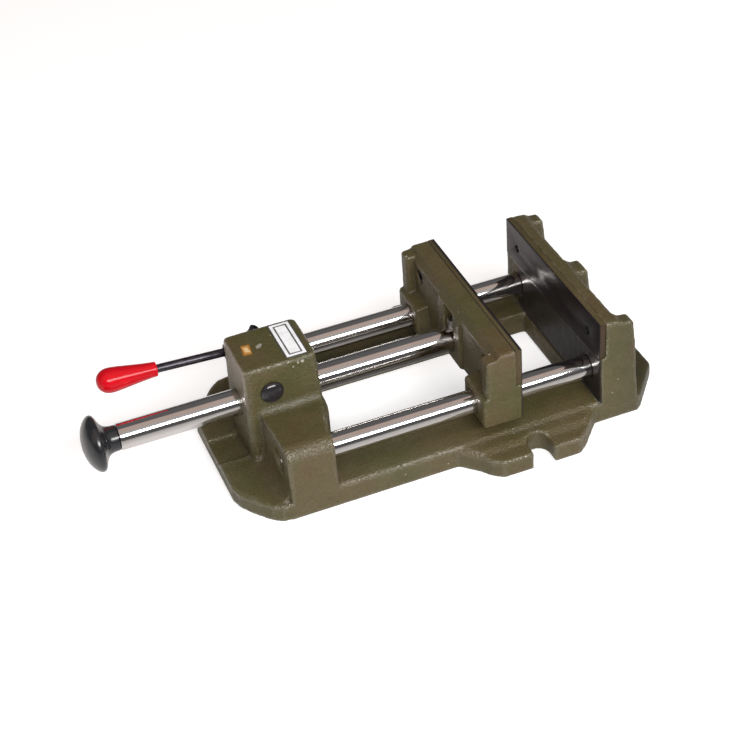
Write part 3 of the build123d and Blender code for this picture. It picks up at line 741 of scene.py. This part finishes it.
def cap_screw(name, seat, direction, head_r, head_h, shank_r, shank, hex_r, hex_d):
    """Socket cap screw. seat is under the head (mm), direction points from the tip to the head."""
    prof = [(-shank, 0), (-shank, shank_r * 0.8), (-shank + 0.8, shank_r)]
    a = -shank + 0.8
    pitch = max(0.7, shank_r * 0.34)
    while a < -2.2:                      # rolled thread as rings, out of sight in the hole
        prof += [(a + pitch * 0.5, shank_r - 0.35), (a + pitch, shank_r)]
        a += pitch
    prof += [(0, shank_r)]
    prof += corners([(0, shank_r), (0, head_r, 0.25), (head_h, head_r, 0.6), (head_h, 0)])[1:]
    # rings for the knurl
    body = []
    for p, q in zip(prof, prof[1:]):
        body.append(p)
        if abs(p[1] - head_r) < 1e-6 and abs(q[1] - head_r) < 1e-6 and q[0] - p[0] > 2:
            for t in (0.04, 0.08, 0.92, 0.96):
                body.append((p[0] + (q[0] - p[0]) * t, head_r))
    body.append(prof[-1])
    ob = lathe(name, body, seat, direction, segs=72, wobble=knurl(head_h * 0.12, head_h * 0.80, 0.10, 72), angle=24)
    top = Vector(seat) + Vector(direction).normalized() * head_h
    cut(ob, hexagon(top, direction, hex_r, hex_d))
    return shade(ob, 24)


def set_screw(name, tip, direction, r, length, hex_r, hex_d, head=None):
    d = Vector(direction).normalized()
    prof = [(0, 0), (0, r * 0.6), (0.6, r)]
    a = 0.6
    while a < length - 1.6:
        prof += [(a + 0.5, r - 0.32), (a + 1.0, r)]
        a += 1.0
    prof += corners([(a, r), (length, r, 0.4), (length, 0)])[1:]
    ob = lathe(name, prof, tip, direction, segs=48, angle=24)
    cut(ob, hexagon(Vector(tip) + d * length, direction, hex_r, hex_d))
    return shade(ob, 24)


obs = [cap_screw("s", (13.2, s * GY, 67.5), (1, 0, 0), 5.0, 6.0, 2.98, 12.0, 2.9, 3.0) for s in (-1, 1)]
place(join("fixed_plate_cap_screws", obs), "base", "black_oxide", "fixed_plate_screws", mat=M_OXIDE)
obs = [cap_screw("s", (XF - 13.0, s * GY, 67.5), (-1, 0, 0), 5.0, 6.0, 2.98, 11.5, 2.9, 3.0) for s in (-1, 1)]
place(join("moving_plate_cap_screws", obs), "moving_jaw_group", "black_oxide", "moving_plate_screws", mat=M_OXIDE)
obs = [set_screw("s", (x, s * GY, 27.25), (0, 0, -1), 4.0, 15.25, 2.3, 4.0) for s in (-1, 1) for x in (-216.0, 9.0)]
place(join("guide_bar_grub_screws", obs), "base", "black_oxide", "guide_bar_set_screws", mat=M_OXIDE)

# screw that holds the push bar in the moving jaw
prof = corners([(36, 0), (36, 2.4), (36.6, 2.98), (59.6, 2.98), (59.6, 4.0, 0.2), (66.5, 4.0, 0.5), (66.5, 0)])
ob = lathe("push_bar_retaining_screw", prof, (XF - 18.5, 0, 0), (0, 0, 1), segs=64)
cut(ob, hexagon(Vector((XF - 18.5, 0, 66.5)), (0, 0, 1), 2.3, 3.0))
shade(ob, 24)
place(ob, "moving_jaw_group", "bright_steel", "push_bar_set_screw", mat=M_STEEL)

# ------------------------------------------------------------------ knob
prof = spline([(-352.0, 0), (-351.85, 3.2), (-351.1, 8.0), (-349.6, 12.6), (-347.5, 16.2), (-345.2, 18.7), (-343.2, 19.8),
               (-341.6, 19.85), (-340.2, 19.0), (-339.1, 17.0), (-338.0, 14.4), (-336.4, 11.8), (-334.4, 10.1),
               (-332.2, 9.35), (-330.0, 9.08), (-328.0, 9.0)], 5)
prof += [(-327.5, 8.95), (-327.2, 8.6), (-327.2, 4.0), (-314.0 - 27.0, 4.0), (-341.0, 0)]
ob = lathe("palm_knob", prof, (0, 0, PZ), segs=128, angle=40)
place(ob, "moving_jaw_group", "black_plastic", "knob", mat=M_BLACK)
prof = [(-340.5, 0), (-340.5, 3.2), (-339.8, 3.98)]
a = -339.8
while a < -328.5:
    prof += [(a + 0.6, 3.55), (a + 1.2, 3.98)]
    a += 1.2
prof += [(-327.0, 3.98), (-314.5, 3.98), (-313.5, 3.3), (-313.5, 0)]
ob = lathe("knob_threaded_stud", prof, (0, 0, PZ), segs=48, angle=24)
place(ob, "moving_jaw_group", "bright_steel", "knob_stud", mat=M_STEEL_X)

# ------------------------------------------------------------------ cross shaft group
SX, SZ = -222.0, 68.6
yw = 24.0 + (23.0 - 24.0) * (SZ - 6) / (90.0 - 6)
plug = [(0, 0), (0, 7.7), (0.35, 8.2), (0.9, 8.2)] + spline([(0.9, 8.2), (1.9, 7.75), (3.0, 6.5), (3.9, 4.4), (4.4, 2.0), (4.5, 0)], 5)[1:]
inner = [(-7.0, 0), (-7.0, 6.4), (-6.4, 7.05), (0, 7.05)]
ob = lathe("shaft_end_plug", inner + plug[1:], (SX, -(yw + 0.15), SZ), (0, -1, 0), segs=96, angle=36)
place(ob, "base", "black_plastic", "shaft_bore_plug", mat=M_PLUG)

prof = [(24.3, 7.3), (24.3, 8.9), (24.5, 9.2), (25.1, 9.2), (25.3, 8.9), (25.3, 7.3), (25.1, 7.06), (24.5, 7.06)]
ob = lathe("hub_thrust_washer", prof, (SX, 0, SZ), (0, 1, 0), segs=72, closed=True)
place(ob, "base", "bright_steel", "hub_washer", mat=M_STEEL_X)


def fine_skin(node, name, voxel, rounds, body, slot, mat, angle=None):
    """Close remesh of a small CAD part with its edges broken."""
    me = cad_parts[node].data.copy()
    ob = link(bpy.data.objects.new(name, me))
    bm = bmesh.new()
    bm.from_mesh(me)
    bmesh.ops.remove_doubles(bm, verts=bm.verts, dist=2e-6)
    bm.to_mesh(me)
    bm.free()
    r = ob.modifiers.new("remesh", "REMESH")
    r.mode = "VOXEL"
    r.voxel_size = voxel * MM
    r.use_smooth_shade = True
    bake_modifiers(ob)
    me = ob.data
    n = len(me.vertices)
    co = np.empty(n * 3, np.float64)
    me.vertices.foreach_get("co", co)
    co = co.reshape(-1, 3)
    e = np.empty(len(me.edges) * 2, np.int64)
    me.edges.foreach_get("vertices", e)
    a, b = e.reshape(-1, 2).T
    cnt = np.maximum(np.bincount(np.concatenate([a, b]), minlength=n), 1).astype(float)
    for _ in range(rounds):
        co += 0.5 * (neighbour_mean(co, a, b, cnt) - co)
    me.vertices.foreach_set("co", co.ravel())
    me.update()
    for p in me.polygons:
        p.use_smooth = True
    return place(ob, body, slot, node, mat=mat)


fine_skin("lever_hub", "lever_hub_forged", 0.28, 4, "lever_group", "black_oxide", M_OXIDE)
fine_skin("grip_plates", "grip_plates_hardened", 0.4, 3, "grip_group", "bright_steel", M_STEEL_X)
fine_skin("cam_shaft", "cam_shaft_turned", 0.35, 3, "lever_group", "bright_steel", M_STEEL_X)

SCR, SCY = math.radians(62.0), 32.0
d = Vector((math.cos(SCR), 0, math.sin(SCR)))
c0 = Vector((SX, SCY, SZ))
ob = cap_screw("hub_clamp_screw", tuple(c0 + d * 12.8), tuple(d), 3.3, 4.4, 1.98, 7.2, 1.73, 2.0)
place(ob, "lever_group", "black_oxide", "hub_screw", mat=M_OXIDE)

UP = math.radians(3.0)
d = Vector((-math.cos(UP), 0, math.sin(UP)))
c0 = Vector((SX, 32.6, SZ))
prof = corners([(7.0, 0), (7.0, 3.0, 0.5), (82.0, 3.0, 0.5), (82.0, 0)])
ob = lathe("lever_rod_black", prof, tuple(c0), tuple(d), segs=64)
place(ob, "lever_group", "black_oxide", "lever_rod", mat=M_ROD)

prof = [(65.0, 3.02), (65.0, 4.5), (65.15, 4.95), (65.5, 5.15)] + spline([(65.5, 5.15), (70, 5.5), (78, 6.45), (86, 7.55), (92, 8.35), (97, 8.8),
       (100.4, 8.55), (103.3, 7.5), (105.7, 5.5), (107.1, 3.0), (107.6, 0)], 6)[1:]
prof = [(82.0, 0), (82.0, 3.02)] + prof
ob = lathe("lever_ball_grip", prof, tuple(c0), tuple(d), segs=112, angle=40)
place(ob, "lever_group", "red_grip", "lever_grip", mat=M_RED)

# retaining ring with its gap and lugs
ring = fine_skin("shaft_retaining_ring", "shaft_snap_ring", 0.3, 1, "lever_group", "bright_steel", M_STEEL_X)
for v in ring.data.vertices:
    dx, dz = v.co.x / MM + 222.0, v.co.z / MM - 68.6
    k = min(1.0, 7.2 / max(math.hypot(dx, dz), 1e-6))
    v.co = ((dx * k - 222.0) * MM, min(v.co.y, -13.2 * MM), (dz * k + 68.6) * MM)

FX = -201.8
prof = corners([(-18.8, 0), (-18.8, 3.0, 0.5), (18.8, 3.0, 0.5), (18.8, 0)])
ob = lathe("fulcrum_dowel", prof, (FX, 0, 31.0), (0, 1, 0), segs=48)
place(ob, "base", "bright_steel", "fulcrum_pin", mat=M_STEEL_X)

# return spring, ends closed and ground
x0, x1, wire, turns, R = -204.3, -193.35, 1.6, 2.5, 11.6
pts, steps = [], 160
for i in range(steps + 1):
    t = i / steps
    lead = min(1.0, max(0.0, (t - 0.18) / 0.64))
    x = x0 + wire / 2 + (x1 - x0 - wire) * lead
    th = 2 * math.pi * (turns + 1.0) * t
    pts.append(((x) * MM, R * math.cos(th) * MM, (PZ + R * math.sin(th)) * MM))
cu = bpy.data.curves.new("spring_wire", "CURVE")
cu.dimensions = "3D"
cu.bevel_depth = wire / 2 * MM
cu.bevel_resolution = 4
cu.use_fill_caps = True
sp = cu.splines.new("POLY")
sp.points.add(len(pts) - 1)
for i, p in enumerate(pts):
    sp.points[i].co = (*p, 1)
tmp = link(bpy.data.objects.new("spring_wire", cu))
dg = bpy.context.evaluated_depsgraph_get()
dg.update()
me = bpy.data.meshes.new_from_object(tmp.evaluated_get(dg))
bpy.data.objects.remove(tmp)
bpy.data.curves.remove(cu)
ob = link(bpy.data.objects.new("plate_return_spring", me))
shade(ob, 50)
place(ob, "base", "bright_steel", "plate_spring", mat=M_STEEL_X)
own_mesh(ob)

# ------------------------------------------------------------------ label and sticker
ob = outline("blank_label", [rounded_rect(-208.3, -192.6, -20.3, 20.3, 1.2)], 90.0, 90.35, 0.1, "Z")
place(ob, "base", "white_label", "label_plate", mat=M_LABEL)
a = math.radians(-8)
pts = [(-229.8 + x * math.cos(a) - y * math.sin(a), 1.1 + x * math.sin(a) + y * math.cos(a))
       for x, y in rounded_rect(-3.1, 3.1, -5.6, 5.6, 0.7)]
ob = outline("blank_sticker", [pts], 90.0, 90.2, 0.06, "Z")
place(ob, "base", "orange_label", "orange_sticker", mat=M_AMBER)

# ------------------------------------------------------------------ floor, light, camera
floor = mesh_object("floor", [(-16, -16, -0.0004), (16, -16, -0.0004), (16, 16, -0.0004), (-16, 16, -0.0004)], [(0, 1, 2, 3)])
fm = Mat("floor_paper")
fn = fm.noise(3.0, 2.0)
fm.set(Base_Color=fm.mix(fm.ramp(fn, 0.3, 0.7), (0.69, 0.69, 0.69), (0.675, 0.675, 0.68)), Roughness=0.9)
fm.b.inputs["Specular IOR Level"].default_value = 0.0
fm.b.inputs["Emission Color"].default_value = (1.0, 0.995, 1.0, 1.0)
fm.b.inputs["Emission Strength"].default_value = 0.52
# painted shade for glossy rays: the floor as the bars reflect it goes darker towards -Y
fy = fm.t.nodes.new("ShaderNodeValToRGB")
fm.t.links.new(fm.ramp(fm.xyz()[1], -0.6, 0.0, smooth=False), fy.inputs[0])
fe = fy.color_ramp.elements
fe[0].position, fe[0].color = 0.0, (0.12, 0.12, 0.12, 1)
fe[1].position, fe[1].color = 1.0, (0.86, 0.86, 0.86, 1)
for p, v in ((0.30, 0.24), (0.70, 0.42), (0.85, 0.56), (0.95, 0.76)):
    fe.new(p).color = (v, v, v, 1)
dif = fm.t.nodes.new("ShaderNodeBsdfDiffuse")
# painted shadow for glossy rays: the floor under the base's window is nearly black
win = fm.math("MULTIPLY", fm.ramp(fm.math("ABSOLUTE", fm.math("ADD", fm.xyz()[0], 0.095)), 0.085, 0.100, 1.0, 0.0),
              fm.ramp(fm.math("ABSOLUTE", fm.xyz()[1]), 0.052, 0.066, 1.0, 0.0))
fm.t.links.new(fm.mix(fm.math("MULTIPLY", win, 0.6), fy.outputs[0], (0.02, 0.02, 0.02)), dif.inputs[0])
lp = fm.t.nodes.new("ShaderNodeLightPath")
mx = fm.t.nodes.new("ShaderNodeMixShader")
fm.t.links.new(lp.outputs["Is Glossy Ray"], mx.inputs[0])
fm.t.links.new(fm.b.outputs[0], mx.inputs[1])
fm.t.links.new(dif.outputs[0], mx.inputs[2])
fm.t.links.new(mx.outputs[0], fm.out.inputs[0])
floor.data.materials.append(fm.m)

# the room as the bright bars show it: brightness by the angle round the X axis, 0 level towards -Y, 90 up
ROOM = [(-180, (1.0, 1.0, 1.0)), (-90, (1.0, 1.0, 1.0)), (-60, (0.80, 0.80, 0.80)), (-30, (0.55, 0.55, 0.55)), (-16, (0.40, 0.40, 0.40)),
        (-5, (0.15, 0.15, 0.155)), (0, (0.10, 0.10, 0.105)), (20, (0.10, 0.10, 0.105)), (44, (0.30, 0.30, 0.30)), (50, (0.50, 0.50, 0.50)),
        (62, (0.48, 0.47, 0.46)), (67, (0.54, 0.43, 0.38)), (97, (0.54, 0.43, 0.38)), (102, (0.13, 0.13, 0.13)),
        (140, (0.13, 0.13, 0.13)), (146, (0.10, 0.10, 0.10)), (179, (0.10, 0.10, 0.10)), (180, (1.0, 1.0, 1.0))]
world = bpy.data.worlds.new("studio")
scene.world = world
world.use_nodes = True
wt = world.node_tree
wt.nodes.clear()
wo = wt.nodes.new("ShaderNodeOutputWorld")
wb = wt.nodes.new("ShaderNodeBackground")
wt.links.new(wb.outputs[0], wo.inputs[0])
wc = wt.nodes.new("ShaderNodeTexCoord")
ws = wt.nodes.new("ShaderNodeSeparateXYZ")
wt.links.new(wc.outputs["Generated"], ws.inputs[0])
neg = wt.nodes.new("ShaderNodeMath")
neg.operation = "MULTIPLY"
wt.links.new(ws.outputs[1], neg.inputs[0])
neg.inputs[1].default_value = -1.0
ang = wt.nodes.new("ShaderNodeMath")
ang.operation = "ARCTAN2"
wt.links.new(ws.outputs[2], ang.inputs[0])
wt.links.new(neg.outputs[0], ang.inputs[1])
sc = wt.nodes.new("ShaderNodeMath")
sc.operation = "MULTIPLY_ADD"
wt.links.new(ang.outputs[0], sc.inputs[0])
sc.inputs[1].default_value = 1.0 / (2 * math.pi)
sc.inputs[2].default_value = 0.5
wr = wt.nodes.new("ShaderNodeValToRGB")
wt.links.new(sc.outputs[0], wr.inputs[0])
el = wr.color_ramp.elements
el[0].position, el[0].color = 0.0, (*ROOM[0][1], 1)
el[1].position, el[1].color = 1.0, (*ROOM[-1][1], 1)
for a, c in ROOM[1:-1]:
    e = el.new(a / 360.0 + 0.5)
    e.color = (*c, 1)
wt.links.new(wr.outputs[0], wb.inputs[0])
wb.inputs[1].default_value = 1.0

TARGET = Vector((-0.12, 0.0, 0.045))


def area(name, pos, size, power, color=(1, 1, 1), glossy=True, at=TARGET, size_y=None):
    li = bpy.data.lights.new(name, "AREA")
    li.shape = "RECTANGLE"
    li.size = size
    li.size_y = size_y or size
    li.energy = power
    li.color = color
    ob = link(bpy.data.objects.new(name, li))
    ob.location = pos
    ob.rotation_euler = (at - Vector(pos)).to_track_quat("-Z", "Y").to_euler()
    ob.visible_glossy = glossy
    return ob


area("key_softbox", (-0.10, -1.215, 0.915), 1.53, 30.5, (1.0, 0.985, 0.965), True, size_y=0.39)
area("top_fill", (-0.12, 0.15, 1.6), 1.4, 6, (1.0, 0.985, 0.96), False)

cam = bpy.data.cameras.new("camera")
cam_ob = link(bpy.data.objects.new("camera", cam))
R_ = Vector((0.9217, -0.3839, -0.0554)).normalized()
B_ = Vector((-0.2725, -0.7426, 0.6118)).normalized()
U_ = B_.cross(R_).normalized()
R_ = U_.cross(B_).normalized()
mw = Matrix((R_, U_, B_)).transposed().to_4x4()
mw.translation = Vector((-0.4689, -0.9509, 0.8285))
cam_ob.matrix_world = mw
cam.sensor_fit = "HORIZONTAL"
cam.sensor_width = 36.0
cam.lens = 1800.0 / 730.0 * 36.0
cam.shift_x = (365.0 - 399.46) / 730.0
cam.shift_y = (358.74 - 365.0) / 730.0
cam.clip_start, cam.clip_end = 0.01, 50
cam.dof.use_dof = False
scene.camera = cam_ob

scene.view_settings.view_transform = "Standard"
scene.view_settings.look = "None"
scene.view_settings.exposure = 0.0
scene.view_settings.gamma = 1.0
